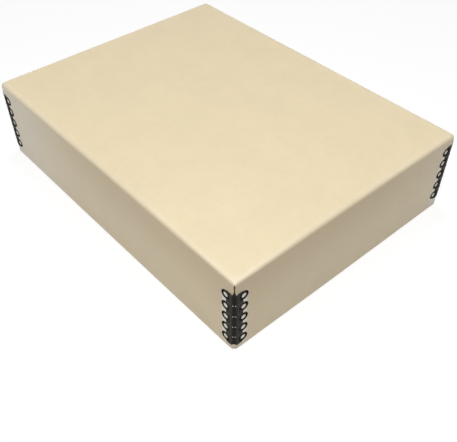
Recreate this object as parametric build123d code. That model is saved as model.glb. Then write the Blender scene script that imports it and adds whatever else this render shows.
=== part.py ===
from build123d import *
from math import floor
import os

# Drop-front archival box for papers, in millimetres.
# Frame: the origin is the middle of the box's footprint on the table, X runs along the long side,
# the drop front faces -Y, and Z points up. The box is modelled closed.

# Board and box
board = 1.5  # thickness of the archival board
box_length = 330.0  # outside length of the lid, along X
box_width = 252.0  # outside width of the lid, along Y
lid_depth = 78.0  # from the lid's top face to its lower edge
floor_clear = 1.0  # the lid's lower edge stays this far above the table
fold_radius = 3.0  # outside radius of the board's folds and of its pressed corners
corner_slit = 0.8  # open butt joint where two walls meet
slit_start = 1.5  # how far from the panel's outer face a butt joint starts
lid_play = 1.75  # room between the lid's walls and the tray's walls, each side
rim_clear = 0.3  # room between the tray's rim and the lid's panel
front_clear = 0.3  # room round the drop front, at both end walls

# Metal stay: a strip bent round the corner, with a row of eyelets on each wing
metal = 0.4  # sheet thickness
stay_end = 4.0  # least distance from the stay's other end to the wall's free edge
band_reach = 8.4  # from the corner to the band's edge between two eyelets
eyelet_reach = 9.0  # from the corner to the eyelets' centres
eyelet_radius = 4.3  # outside of an eyelet
eyelet_hole = 2.2  # radius of the hole that the prong was struck from
eyelet_pitch = 12.05
eyelet_sides = 16  # flats round an eyelet's outside, and round its hole
hole_sides = 12
first_margin = 5.2  # from the band's shoulder to the first eyelet's centre
last_margin = 4.4  # from the last eyelet's centre to the band's other end
nib_height = 3.4  # the nib stands on the ridge, above the shoulder
nib_half_width = 1.5
notch_height = 3.2  # V notch in the ridge at the other end
notch_half_width = 2.4
dimple_rise = 0.4  # small darts pressed out of the ridge, between the eyelets
dimple_half_width = 1.0
dimple_half_height = 1.2

# Prong: a tooth struck from the eyelet's hole, driven through the board and clinched inside
prong_width = 2.4
prong_point = 1.2  # length of the tooth's taper
clinch_length = 2.6  # from the slit in the board to the prong's tip
prong_clear = 0.1  # room round a prong in its slit

# From the panel's outer face to the tip of a stay's nib. The stays are driven one by one, and those
# of the lid don't sit at one height.
lid_stay_starts = {"front_right": 10.8, "front_left": 7.8, "back_right": 6.2, "back_left": 8.2}
tray_stay_start = 8.0

lid_top = floor_clear + lid_depth
tray_length = box_length - 2 * (board + lid_play)
tray_width = box_width - 2 * (board + lid_play)
tray_height = lid_top - board - rim_clear

# As many eyelets as the lower of the two walls holds under the stay that starts furthest from its panel.
# Heights along a stay count from the tip of its nib.
last_start = max(tray_stay_start, *lid_stay_starts.values())
stay_overhead = last_start + nib_height + first_margin + last_margin + stay_end
eyelet_count = 1 + floor((min(lid_depth, tray_height) - stay_overhead) / eyelet_pitch)
eyelet_heights = [nib_height + first_margin + i * eyelet_pitch for i in range(eyelet_count)]
dimple_heights = [z + eyelet_pitch / 2 for z in eyelet_heights[:-1]]
band_end = eyelet_heights[-1] + last_margin
prong_root = eyelet_reach - eyelet_hole  # outer face of the prong's leg
cut_margin = 5.0  # how far a cutting body runs past what it cuts

ON_FLOOR = (Align.CENTER, Align.CENTER, Align.MIN)
# One wing of the stay lies in this plane: x runs along the wall from the corner, y runs up,
# and the plane's normal points into the box. The corner is at +X, -Y.
WING = Plane(origin=(0, 0, 0), x_dir=(-1, 0, 0), z_dir=(0, 1, 0))
# Square on to the corner: x runs across it, y runs up, and the normal points out of it
DIAGONAL = Plane(origin=(0, 0, 0), x_dir=(1, 1, 0), z_dir=(1, -1, 0))
# The stay's two wings are mirror images in this plane
SWAP_WINGS = Plane(origin=(0, 0, 0), x_dir=(1, -1, 0), z_dir=(1, 1, 0))
# Cuts the ridge down its middle: x runs out from the bend's axis, y runs up
RIDGE = Plane(origin=(-fold_radius, fold_radius, 0), x_dir=(1, -1, 0), z_dir=(-1, -1, 0))
QUARTER_TURNS = {(1, -1): 0, (1, 1): 90, (-1, 1): 180, (-1, -1): 270}


def both_wings(shape):
    return [shape, mirror(shape, about=SWAP_WINGS)]


def at_corner(shape, length, width, corner):
    """Carries a shape from the +X, -Y corner at the origin to a corner of a box."""
    sx, sy = corner
    return Pos(sx * length / 2, sy * width / 2) * Rot(Z=QUARTER_TURNS[corner]) * shape


def wing_plate():
    """The flat wing: a band with round eyelets along its edge, seen face on."""
    outline = Pos((fold_radius + band_reach) / 2, (nib_height + band_end) / 2) * Rectangle(
        band_reach - fold_radius, band_end - nib_height
    )
    centres = [Pos(eyelet_reach, z) for z in eyelet_heights]
    outline += [centre * RegularPolygon(eyelet_radius, eyelet_sides) for centre in centres]
    outline -= [centre * RegularPolygon(eyelet_hole, hole_sides) for centre in centres]
    return extrude(WING * outline, amount=-metal)


def prong(z):
    """A tooth bent in at the eyelet's hole, through the board, and clinched flat inside."""
    half = prong_width / 2
    through = Pos(prong_root - metal / 2, z) * Rectangle(metal, prong_width)
    leg = extrude(WING * through, amount=board + metal) + extrude(WING * through, amount=-metal)
    tip = prong_root + clinch_length
    tooth = Polyline(
        (prong_root - metal, z - half),
        (tip - prong_point, z - half),
        (tip, z),
        (tip - prong_point, z + half),
        (prong_root - metal, z + half),
        close=True,
    )
    return leg + extrude(WING.offset(board) * make_face(tooth), amount=metal)


def across_corner(points):
    """A prism with a triangular outline, seen square on to the corner."""
    outline = DIAGONAL * make_face(Polyline(*points, close=True))
    return extrude(outline, amount=cut_margin, both=True)


def dimple(z):
    """A roof-shaped dart across the ridge, its base within the sheet."""
    base = fold_radius + metal / 2
    crest = fold_radius + metal + dimple_rise
    profile = Polyline(
        (base, z - dimple_half_height), (crest, z), (base, z + dimple_half_height), close=True
    )
    return extrude(RIDGE * make_face(profile), amount=dimple_half_width, both=True)


def make_stay():
    """The stay, its nib's tip at height 0, bent round the +X, -Y corner of a folded board."""
    outer = fold_radius + metal
    axis = Pos(-fold_radius, fold_radius)
    quarter = axis * Pos(outer / 2, -outer / 2) * Rectangle(outer, outer)
    ring = axis * (Circle(outer) - Circle(fold_radius)) & quarter
    bend = Pos(0, 0, nib_height) * extrude(ring, amount=band_end - nib_height)
    bend -= across_corner(
        [(-notch_half_width, band_end), (0, band_end - notch_height), (notch_half_width, band_end)]
    )
    nib = extrude(ring, amount=nib_height)
    nib &= across_corner([(-nib_half_width, nib_height), (0, 0), (nib_half_width, nib_height)])
    stay = bend + nib
    stay += [dimple(z) for z in dimple_heights]
    stay += both_wings(wing_plate())
    for z in eyelet_heights:
        stay += both_wings(prong(z))
    return stay


def prong_slits(stay_start):
    """The slits that the prongs of one corner's stay cut through the board."""
    slit = WING.offset(-cut_margin) * Rectangle(metal + 2 * prong_clear, prong_width + 2 * prong_clear)
    through = extrude(slit, amount=cut_margin + board + cut_margin)
    slits = []
    for z in eyelet_heights:
        slits += both_wings(Pos(metal / 2 - prong_root, 0, stay_start + z) * through)
    return slits


def rounded_block(length, width, height, radius, front_open):
    """A block standing on its panel side, with that side's edges and its corners rounded."""
    block = Box(length, width, height, align=ON_FLOOR)
    uprights = block.edges().filter_by(Axis.Z)
    folds = block.edges().group_by(Axis.Z)[0]
    if front_open:
        uprights = uprights.group_by(Axis.Y)[-1]
        folds = folds.group_by(Axis.Y)[1] + folds.group_by(Axis.Y)[-1]
    return fillet(uprights + folds, radius)


def folded_board(length, width, height, stay_starts, front_open=False):
    """A scored blank folded into a panel and its walls, panel down, with slit corners.

    stay_starts gives, for each corner with a stay, how far from the panel the stay starts."""
    shell = rounded_block(length, width, height, fold_radius, front_open)
    hollow_width = width - 2 * board
    hollow = rounded_block(
        length - 2 * board, hollow_width, height, fold_radius - board, front_open
    )
    shell -= Pos(0, 0, board) * hollow
    slit = Box(corner_slit, 2 * (fold_radius + board), height, align=ON_FLOOR)
    slit = Pos(0, 0, slit_start) * Rot(Z=45) * slit
    for corner, stay_start in stay_starts.items():
        shell -= [at_corner(cut, length, width, corner) for cut in [slit] + prong_slits(stay_start)]
    if front_open:
        front = -width / 2
        wall_cut = Box(length, board + front_clear, height, align=(Align.CENTER, Align.MIN, Align.MIN))
        crease_cut = Box(length, fold_radius, fold_radius, align=(Align.CENTER, Align.MIN, Align.MIN))
        shell -= [Pos(0, front) * wall_cut, Pos(0, front) * crease_cut]
    return shell


def drop_front():
    """The tray's front wall with the crease that it folds down on, which ends the panel."""
    front, radius = -tray_width / 2, fold_radius
    wall = Pos(front + board / 2, (radius + tray_height) / 2) * Rectangle(board, tray_height - radius)
    centre = Pos(front + radius, radius)
    corner = centre * Pos(-radius / 2, -radius / 2) * Rectangle(radius, radius)
    crease = centre * (Circle(radius) - Circle(radius - board)) & corner
    side_view = Plane(origin=(0, 0, 0), x_dir=(0, 1, 0), z_dir=(1, 0, 0))
    span = tray_length / 2 - board - front_clear
    return extrude(side_view * (wall + crease), amount=span, both=True)


def turned_over(shape):
    """Turns a panel-down shape over and lifts it to the lid's place."""
    return Pos(0, 0, lid_top) * Rot(X=180) * shape


# Corners by name. Panel down, the lid's front and back are swapped, because it is turned over later.
lid_corners = {"front_right": (1, 1), "front_left": (-1, 1), "back_right": (1, -1), "back_left": (-1, -1)}
tray_corners = {"back_right": (1, 1), "back_left": (-1, 1)}
lid_starts = {lid_corners[name]: start for name, start in lid_stay_starts.items()}
tray_starts = {corner: tray_stay_start for corner in tray_corners.values()}

stay = make_stay()
parts = {
    "lid_board": turned_over(folded_board(box_length, box_width, lid_depth, lid_starts)),
    "tray_board": folded_board(tray_length, tray_width, tray_height, tray_starts, front_open=True),
    "drop_front": drop_front(),
}
for name, corner in lid_corners.items():
    raised = Pos(0, 0, lid_starts[corner]) * stay
    parts[f"lid_stay_{name}"] = turned_over(at_corner(raised, box_length, box_width, corner))
for name, corner in tray_corners.items():
    raised = Pos(0, 0, tray_starts[corner]) * stay
    parts[f"tray_stay_{name}"] = at_corner(raised, tray_length, tray_width, corner)

os.makedirs("parts", exist_ok=True)
for name, shape in parts.items():
    shape.label = name
    export_step(shape, f"parts/{name}.step")
    print(name, "solids", len(shape.solids()), "volume mm3", round(shape.volume, 1))
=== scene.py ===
# %% [markdown]
# # A drop-front archival box
# Such a box keeps papers flat and out of the light. A full-depth lid of tan board comes down over a
# tray of the same board, and black metal stays clinch the corners, with no glue anywhere.
# The construction comes in as a fixed frame, in metres, with the box standing at the origin.
# Every sheet, of board or of steel, is then made anew here as a surface worked out with arrays, so
# that its folds, its cut edges and its eyelets are as smooth as the real ones.

# %% Load the frame and keep its box
from math import cos, pi, radians, sin

import bpy
import numpy as np
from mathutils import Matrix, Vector


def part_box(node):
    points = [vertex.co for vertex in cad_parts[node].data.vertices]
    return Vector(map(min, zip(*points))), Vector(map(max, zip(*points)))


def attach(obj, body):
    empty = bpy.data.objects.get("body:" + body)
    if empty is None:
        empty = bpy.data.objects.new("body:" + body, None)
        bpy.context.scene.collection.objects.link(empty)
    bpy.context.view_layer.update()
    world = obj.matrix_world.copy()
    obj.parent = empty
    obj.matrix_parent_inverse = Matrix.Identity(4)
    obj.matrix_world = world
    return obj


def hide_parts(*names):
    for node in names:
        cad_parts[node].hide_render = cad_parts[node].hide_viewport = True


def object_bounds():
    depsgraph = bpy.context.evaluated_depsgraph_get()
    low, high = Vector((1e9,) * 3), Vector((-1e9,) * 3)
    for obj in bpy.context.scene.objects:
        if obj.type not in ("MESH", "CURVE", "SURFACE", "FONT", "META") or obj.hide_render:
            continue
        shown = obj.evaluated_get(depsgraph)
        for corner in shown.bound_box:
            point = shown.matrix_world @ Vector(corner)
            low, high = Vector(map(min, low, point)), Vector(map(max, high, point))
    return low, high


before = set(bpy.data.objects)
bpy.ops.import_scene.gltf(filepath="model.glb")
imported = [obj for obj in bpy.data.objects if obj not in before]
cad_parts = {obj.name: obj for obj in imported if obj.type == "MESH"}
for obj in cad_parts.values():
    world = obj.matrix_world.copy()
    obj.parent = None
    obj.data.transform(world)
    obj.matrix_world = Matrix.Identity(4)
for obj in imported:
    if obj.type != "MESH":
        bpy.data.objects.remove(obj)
cad_low, cad_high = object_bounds()
mm = 0.001

# %% [markdown]
# ## The camera
# A camera could be pushed about by hand until its picture looks right. Here it stands on a sphere round
# the point that it aims at, given by two angles and a distance, as a photographer would note them, so
# each of them can be corrected by itself. They come from the box's own edges: how fast these close
# towards each other says how near the camera stood. A short vertical shift sets the box at its height
# in the frame without tipping the camera, so upright edges keep their slant.

# %% Camera
view_azimuth = radians(48.644)
view_elevation = radians(46.208)
view_distance = 0.4992
aim = Vector((0.11092, -0.08366, 0.040))

in_plan = cos(view_elevation)
sight = Vector((sin(view_azimuth) * in_plan, -cos(view_azimuth) * in_plan, sin(view_elevation)))
camera = bpy.data.objects.new("camera", bpy.data.cameras.new("camera"))
bpy.context.scene.collection.objects.link(camera)
camera.location = aim + sight * view_distance
camera.rotation_mode = "QUATERNION"
camera.rotation_quaternion = (-sight).to_track_quat("-Z", "Y")
camera.data.lens = 50.155
camera.data.sensor_width = 36
camera.data.shift_y = 0.0622
camera.data.clip_start = 0.01
bpy.context.scene.camera = camera
bpy.context.scene.view_settings.view_transform = "Standard"
print("camera stands at", [round(v, 3) for v in camera.location])

# %% [markdown]
# ## Building shaders in code
# A material is a small graph. One helper adds a node, fills its inputs and links whatever is handed to
# it as a socket, so that each finish below reads like a recipe. A node group is an effect with named
# inputs and outputs, made once and placed in every finish that shows it.

# %% Helpers for nodes and groups


def add_node(tree, kind, inputs=None, **settings):
    """One node. Inputs are given by name or number, as a value or as a socket to link."""
    made = tree.nodes.new(kind)
    for name, value in settings.items():
        setattr(made, name, value)
    for key, value in (inputs or {}).items():
        if isinstance(value, bpy.types.NodeSocket):
            tree.links.new(value, made.inputs[key])
        else:
            made.inputs[key].default_value = value
    return made


def calc(tree, operation, *values):
    """A Math node's result, as a socket."""
    return add_node(tree, "ShaderNodeMath", dict(enumerate(values)), operation=operation).outputs[0]


def remap(tree, value, low, high, to_low=0.0, to_high=1.0):
    """Carries the range low..high of a value onto another range, and holds it there."""
    ranges = {0: value, 1: low, 2: high, 3: to_low, 4: to_high}
    return add_node(tree, "ShaderNodeMapRange", ranges).outputs[0]


def blend_colour(tree, factor, first, second):
    """The first colour where the factor is 0, and the second where it is 1."""
    mix = add_node(tree, "ShaderNodeMix", {0: factor, 6: first, 7: second}, data_type="RGBA")
    return mix.outputs[2]


def new_group(name, inputs, outputs):
    """An empty shader group, with the nodes that hold its inputs and its outputs."""
    group = bpy.data.node_groups.new(name, "ShaderNodeTree")
    for socket, kind in inputs.items():
        group.interface.new_socket(socket, in_out="INPUT", socket_type=kind)
    for socket in outputs:
        group.interface.new_socket(socket, in_out="OUTPUT", socket_type="NodeSocketFloat")
    entry = group.nodes.new("NodeGroupInput")
    return group, entry.outputs, group.nodes.new("NodeGroupOutput")


def place_group(tree, group, inputs):
    """A group placed in a material, as its outputs."""
    placed = add_node(tree, "ShaderNodeGroup", node_tree=group)
    for key, value in inputs.items():
        if isinstance(value, bpy.types.NodeSocket):
            tree.links.new(value, placed.inputs[key])
        else:
            placed.inputs[key].default_value = value
    return placed.outputs


def new_material(name):
    """A material with its tree, its Principled shader, and the object's own coordinates."""
    material = bpy.data.materials.new(name)
    material.use_nodes = True
    tree = material.node_tree
    shader = tree.nodes["Principled BSDF"]
    place = add_node(tree, "ShaderNodeTexCoord").outputs["Object"]
    return material, tree, shader, place


# %% [markdown]
# ## The table and the light
# The box is shown on plain white, softly lit from above on both sides. The floor and the sky are white
# only to rays that come from the camera or from a reflection. To all other rays the floor is a pale
# table that throws back some light, so the box isn't lit by its own background.
# Five small soft boxes stand round and above the near corner, the strongest high up in front of it, so
# that the folds turn from light to shade late, and a dim even sky fills the shadows.

# %% Floor, sky and lamps
floor_half = 2.5
table_white = 0.62
table_shade = 0.25
table_glow = 0.80


def shown_to_eye(tree):
    """1 for rays from the camera, from a reflection or through glass, and 0 for the rest."""
    path = add_node(tree, "ShaderNodeLightPath").outputs
    seen = calc(tree, "MAXIMUM", path["Is Camera Ray"], path["Is Glossy Ray"])
    return calc(tree, "MAXIMUM", seen, path["Is Transmission Ray"])


def white_table():
    """A pale diffuse table, to the eye a white that keeps a faint shadow."""
    material = bpy.data.materials.new("white_table")
    material.use_nodes = True
    tree = material.node_tree
    tree.nodes.clear()
    pale = add_node(tree, "ShaderNodeBsdfDiffuse", {"Color": (table_white,) * 3 + (1,)})
    faint = add_node(tree, "ShaderNodeBsdfDiffuse", {"Color": (table_shade,) * 3 + (1,)})
    glow = add_node(tree, "ShaderNodeEmission", {"Strength": table_glow})
    backdrop = add_node(tree, "ShaderNodeAddShader", {0: faint.outputs[0], 1: glow.outputs[0]})
    chosen = {0: shown_to_eye(tree), 1: pale.outputs[0], 2: backdrop.outputs[0]}
    mix = add_node(tree, "ShaderNodeMixShader", chosen)
    add_node(tree, "ShaderNodeOutputMaterial", {0: mix.outputs[0]})
    return material


def soft_lamp(name, place, towards, size, power):
    """A square soft box, in metres and watts, turned to the point that it lights."""
    lamp = bpy.data.lights.new(name, "AREA")
    lamp.size = size
    lamp.energy = power
    holder = bpy.data.objects.new(name, lamp)
    bpy.context.scene.collection.objects.link(holder)
    holder.location = place
    holder.rotation_mode = "QUATERNION"
    holder.rotation_quaternion = (towards - place).to_track_quat("-Z", "Y")


floor_corners = [(x * floor_half, y * floor_half, 0) for x, y in ((-1, -1), (1, -1), (1, 1), (-1, 1))]
floor_mesh = bpy.data.meshes.new("floor")
floor_mesh.from_pydata(floor_corners, [], [(0, 1, 2, 3)])
floor = bpy.data.objects.new("floor", floor_mesh)
floor.data.materials.append(white_table())
bpy.context.scene.collection.objects.link(floor)

sky = bpy.data.worlds.new("sky")
sky.use_nodes = True
bpy.context.scene.world = sky
sky_level = 0.12
eye = shown_to_eye(sky.node_tree)
sky_strength = remap(sky.node_tree, eye, 0.0, 1.0, sky_level, 1.0)
sky.node_tree.links.new(sky_strength, sky.node_tree.nodes["Background"].inputs["Strength"])
sky.node_tree.nodes["Background"].inputs["Color"].default_value = (1, 1, 1, 1)

near_corner = Vector((cad_high.x, cad_low.y, cad_high.z))
lamp_size = 0.30
lamp_plan = {
    "lamp_front": ((0.30, -0.35, 1.00), 7.1),
    "lamp_above": ((0.10, -0.12, 1.10), 0.5),
    "lamp_back": ((-0.35, 0.30, 1.20), 4.5),
    "lamp_left": ((-0.20, -0.75, 0.85), 1.4),
    "lamp_right": ((0.50, 0.30, 0.95), 1.1),
}
for lamp_name, (offset, power) in lamp_plan.items():
    soft_lamp(lamp_name, near_corner + Vector(offset), near_corner, lamp_size, power)
print("lamps:", {name: power for name, (offset, power) in lamp_plan.items()}, "W under a sky of", sky_level)

# %% [markdown]
# ## The board's own texture
# Archival board is solid pulp, tan all through. Seen close, its face is a felt of short fibres with a
# few flecks, and seen from a step away it is very slightly cloudy, where the pulp settled unevenly.
# A scanned picture of board would do it, but it has one scale and it repeats. Noise doesn't. The clouds
# are a noise some centimetres across with finer ones in it. The fibres are noise stretched along each
# axis in turn, because a wall that stands upright has to show them lengthwise too.

# %% Group: board texture
fibre_ends_per_metre = 300
fibres_per_metre = 2600
flecks_per_metre = 420.0
fleck_chance = 0.07


def board_texture_group():
    inputs = {"Place": "NodeSocketVector", "Cloud Scale": "NodeSocketFloat"}
    group, given, result = new_group("board_texture", inputs, ["Clouds", "Fibres", "Flecks"])
    broad = {"Vector": given["Place"], "Scale": given["Cloud Scale"], "Detail": 4.0, "Roughness": 0.85}
    clouds = add_node(group, "ShaderNodeTexNoise", broad).outputs[0]
    group.links.new(remap(group, clouds, 0.30, 0.70), result.inputs["Clouds"])
    strands = []
    for axis in range(3):
        stretch = [fibres_per_metre] * 3
        stretch[axis] = fibre_ends_per_metre
        scaled = add_node(group, "ShaderNodeMapping", {"Vector": given["Place"], "Scale": stretch})
        fine = {"Vector": scaled.outputs[0], "Scale": 1.0, "Detail": 2.0, "Distortion": 0.6}
        strands.append(add_node(group, "ShaderNodeTexNoise", fine).outputs[0])
    felt = calc(group, "ADD", calc(group, "ADD", strands[0], strands[1]), strands[2])
    group.links.new(remap(group, felt, 1.2, 1.8), result.inputs["Fibres"])
    spot = add_node(group, "ShaderNodeTexVoronoi", {"Vector": given["Place"], "Scale": flecks_per_metre})
    chance = add_node(group, "ShaderNodeSeparateColor", {0: spot.outputs["Color"]}).outputs[0]
    rare = calc(group, "GREATER_THAN", chance, 1 - fleck_chance)
    round_spot = remap(group, spot.outputs[0], 0.30, 0.10)
    group.links.new(calc(group, "MULTIPLY", rare, round_spot), result.inputs["Flecks"])
    return group


board_texture = board_texture_group()
print("group", board_texture.name, "puts out", [s.name for s in board_texture.interface.items_tree][:3])

# %% [markdown]
# ## Where board gets rubbed and catches the light
# Hands and shelves rub the folds and, more, the corners. There the face is burnished and its fibres
# stand up pale. The same paler tan is also a painted highlight where the folds and corners turn to
# the light. Such a mask could be painted by hand. Here it starts from two marks that each sheet of
# board carries in its mesh, one near the folds and one near the corners, so it follows any change of
# size, and a noise breaks it up so that no edge looks drawn.

# %% Group: rubbed edges and painted highlight


# Lightens folds and corners: partly rubbing, partly a painted highlight where they turn to the light.
def rub_and_highlight_group():
    inputs = {"Place": "NodeSocketVector", "Fold": "NodeSocketFloat", "Corner": "NodeSocketFloat"}
    group, given, result = new_group("rub_and_highlight_edge", inputs, ["Rub"])
    patchy = {"Vector": given["Place"], "Scale": 160.0, "Detail": 4.0, "Roughness": 0.7}
    patches = remap(group, add_node(group, "ShaderNodeTexNoise", patchy).outputs[0], 0.30, 0.75, 0.35, 1.0)
    either = calc(group, "MAXIMUM", calc(group, "MULTIPLY", given["Fold"], 0.6), given["Corner"])
    group.links.new(calc(group, "MULTIPLY", either, patches), result.inputs["Rub"])
    return group


rub_and_highlight_edge = rub_and_highlight_group()
print("group", rub_and_highlight_edge.name, "ready")

# %% [markdown]
# ## Board finishes
# One recipe makes the finish of all the board, with the tan, the clouds' size and the strength of its
# rubbing and painted light as its own values: the lid has most, the tray hardly any. Under a stay the
# face is bruised pale, and the walls' far ends are lightened by a painted sheen. Just under the folds
# and at the feet the face is darkened by painted shade. All follow marks in the mesh. The shader's
# roughness follows the fibres, and a bump a tenth of a millimetre deep lets raking light find them.
# The cut edge is another finish. A knife leaves it rough, a little paler and greyer than the face, and
# the plies of the board run through it as fine lines, side by side from one face to the other.

# %% Materials: board faces and the cut edge
board_tan = (0.800, 0.672, 0.440)
# Paler tan for rubbed folds and corners, which is also a painted highlight there.
rub_and_highlight_tan = (0.830, 0.765, 0.620)
# Pale tan for bruises under the stays, also used as a painted sheen on the walls' far ends.
bruise_and_sheen_tan = (0.930, 0.905, 0.850)
# Painted shade: a darker tan just under the folds and at the feet.
painted_shade_tan = (0.605, 0.460, 0.270)
edge_tan = (0.760, 0.690, 0.530)
plies_in_board = 6.0


def shade(colour, factor):
    """A colour made lighter or darker, as a four-part colour."""
    return tuple(part * factor for part in colour) + (1,)


# Of these marks, the third also carries a painted sheen on the walls' far ends, and the fourth is painted
# shade under the folds and at the feet.
board_marks = ("fold", "corner", "bruise", "handled")


def read_marks(tree, names):
    """The mesh's marks of these names, as sockets."""
    readers = {name: add_node(tree, "ShaderNodeAttribute", attribute_name=name) for name in names}
    return {name: reader.outputs["Fac"] for name, reader in readers.items()}


def board_finish(name, tan, cloud_scale, rub_and_painted_light):
    """The tan is (r, g, b), cloud_scale counts clouds per metre, and the last value, from 0 to 1, scales the
    rubbing with its painted highlight and the painted shade.
    """
    material, tree, shader, place = new_material(name)
    texture = place_group(tree, board_texture, {"Place": place, "Cloud Scale": cloud_scale})
    marks = read_marks(tree, board_marks)
    given = {"Place": place, "Fold": marks["fold"], "Corner": marks["corner"]}
    rub_and_highlight = calc(tree, "MULTIPLY", place_group(tree, rub_and_highlight_edge, given)["Rub"], rub_and_painted_light)
    colour = blend_colour(tree, texture["Clouds"], shade(tan, 0.965), shade(tan, 1.03))
    colour = blend_colour(tree, calc(tree, "MULTIPLY", texture["Fibres"], 0.10), colour, shade(tan, 0.86))
    colour = blend_colour(tree, calc(tree, "MULTIPLY", texture["Flecks"], 0.22), colour, shade(tan, 0.72))
    # Rubbing and a painted highlight on the folds and corners.
    colour = blend_colour(tree, rub_and_highlight, colour, shade(rub_and_highlight_tan, 1.0))
    # Painted shade just under the folds and at the feet.
    painted_shade = calc(tree, "MULTIPLY", marks["handled"], rub_and_painted_light)
    colour = blend_colour(tree, painted_shade, colour, shade(painted_shade_tan, 1.0))
    # Paler where a stay bruised the face, and a painted sheen on the walls' far ends.
    crushed = remap(tree, texture["Fibres"], 0.2, 0.8, 0.65, 1.0)
    bruise = calc(tree, "MULTIPLY", marks["bruise"], crushed)
    colour = blend_colour(tree, bruise, colour, shade(bruise_and_sheen_tan, 1.0))
    tree.links.new(colour, shader.inputs["Base Color"])
    tree.links.new(remap(tree, texture["Fibres"], 0.0, 1.0, 0.42, 0.54), shader.inputs["Roughness"])
    shader.inputs["Specular IOR Level"].default_value = 0.5
    shader.inputs["Coat Weight"].default_value = 0.30
    shader.inputs["Coat Roughness"].default_value = 0.35
    relief = {"Height": texture["Fibres"], "Distance": 0.1 * mm, "Strength": 0.30}
    tree.links.new(add_node(tree, "ShaderNodeBump", relief).outputs[0], shader.inputs["Normal"])
    return material


def cut_edge_finish():
    """Plies run along the edge: a wave across the depth mark, frayed by a fine noise."""
    material, tree, shader, place = new_material("board_cut_edge")
    depth = read_marks(tree, ["depth"])["depth"]
    fray = add_node(tree, "ShaderNodeTexNoise", {"Vector": place, "Scale": 900.0, "Detail": 3.0}).outputs[0]
    turns = calc(tree, "MULTIPLY", depth, 2 * pi * plies_in_board)
    ply = calc(tree, "SINE", calc(tree, "ADD", turns, calc(tree, "MULTIPLY", fray, 5.0)))
    ply = remap(tree, ply, -1.0, 1.0)
    colour = blend_colour(tree, ply, shade(edge_tan, 0.80), shade(edge_tan, 1.05))
    tree.links.new(colour, shader.inputs["Base Color"])
    tree.links.new(remap(tree, fray, 0.3, 0.7, 0.80, 0.95), shader.inputs["Roughness"])
    shader.inputs["Specular IOR Level"].default_value = 0.15
    relief = {"Height": ply, "Distance": 0.08 * mm, "Strength": 0.5}
    tree.links.new(add_node(tree, "ShaderNodeBump", relief).outputs[0], shader.inputs["Normal"])
    return material


# The last value sets the strength of rubbing, painted highlight and painted shade.
lid_finish = board_finish("lid_board_tan", board_tan, 34.0, 0.75)
tray_finish = board_finish("tray_board_tan", (0.790, 0.668, 0.448), 27.0, 0.25)
front_finish = board_finish("drop_front_tan", (0.795, 0.676, 0.458), 30.0, 0.40)
cut_edge = cut_edge_finish()
print("board finishes:", lid_finish.name, tray_finish.name, front_finish.name, cut_edge.name)

# %% [markdown]
# ## Enamel on the stays
# The stays are strip steel with a brown-black satin enamel, baked on before the strip is punched and
# bent. The enamel is thin: it breaks on the punched rims and is rubbed off the darts' ends, where bare
# steel shines. The eyelets' beads and the ridge are painted blacker than the band, as painted shade,
# and the band is greyer and clouded. One black all over would be quicker, but then the beads don't
# stand out from the band. So all of this follows marks in the mesh.

# %% Material: stay enamel
stay_marks = ("rim", "ridge", "ring", "dart")
enamel_black = (0.003, 0.003, 0.002, 1)
enamel_grey = (0.066, 0.056, 0.044, 1)
# Painted shade on the eyelets' beads.
painted_bead_shade = (0.004, 0.003, 0.002, 1)
# Painted shade down the ridge.
painted_ridge_shade = (0.005, 0.004, 0.003, 1)
bare_steel = (0.62, 0.59, 0.53, 1)


def worn_enamel_group():
    inputs = {"Place": "NodeSocketVector", "Rim": "NodeSocketFloat"}
    group, given, result = new_group("worn_enamel", inputs, ["Drift", "Bare"])
    drift = {"Vector": given["Place"], "Scale": 500.0, "Detail": 3.0, "Roughness": 0.6}
    drifted = remap(group, add_node(group, "ShaderNodeTexNoise", drift).outputs[0], 0.3, 0.7)
    group.links.new(drifted, result.inputs["Drift"])
    chips = {"Vector": given["Place"], "Scale": 1400.0, "Detail": 4.0, "Roughness": 0.75}
    chipped = remap(group, add_node(group, "ShaderNodeTexNoise", chips).outputs[0], 0.50, 0.62)
    group.links.new(calc(group, "MULTIPLY", chipped, given["Rim"]), result.inputs["Bare"])
    return group


def enamel_finish(name, wear):
    """The stay's brown-black enamel, blacker on the beads and the ridge as painted shade, with bare steel on
    its rims as far as wear says, 0 to 1.
    """
    material, tree, shader, place = new_material(name)
    marks = read_marks(tree, stay_marks)
    worn = place_group(tree, worn_enamel, {"Place": place, "Rim": marks["rim"]})
    colour = blend_colour(tree, worn["Drift"], enamel_black, enamel_grey)
    # Painted shade on the beads.
    colour = blend_colour(tree, marks["ring"], colour, painted_bead_shade)
    # Painted shade down the ridge.
    colour = blend_colour(tree, marks["ridge"], colour, painted_ridge_shade)
    bare_rim = calc(tree, "MULTIPLY", worn["Bare"], 0.5 * wear)
    bare_dart = calc(tree, "MULTIPLY", remap(tree, marks["dart"], 0.35, 0.75), wear)
    bare = calc(tree, "MAXIMUM", bare_rim, bare_dart)
    colour = blend_colour(tree, bare, colour, bare_steel)
    tree.links.new(colour, shader.inputs["Base Color"])
    band_dull = remap(tree, worn["Drift"], 0.0, 1.0, 0.40, 0.52)
    dull = calc(tree, "ADD", band_dull, calc(tree, "MULTIPLY", marks["ring"], 0.40))
    tree.links.new(dull, shader.inputs["Roughness"])
    tree.links.new(bare, shader.inputs["Metallic"])
    shader.inputs["Specular IOR Level"].default_value = 0.10
    relief = {"Height": worn["Drift"], "Distance": 0.05 * mm, "Strength": 0.15}
    tree.links.new(add_node(tree, "ShaderNodeBump", relief).outputs[0], shader.inputs["Normal"])
    return material


worn_enamel = worn_enamel_group()
lid_enamel = enamel_finish("lid_stay_enamel", 1.0)
tray_enamel = enamel_finish("tray_stay_enamel", 0.4)
print("enamels:", lid_enamel.name, tray_enamel.name)

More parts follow.
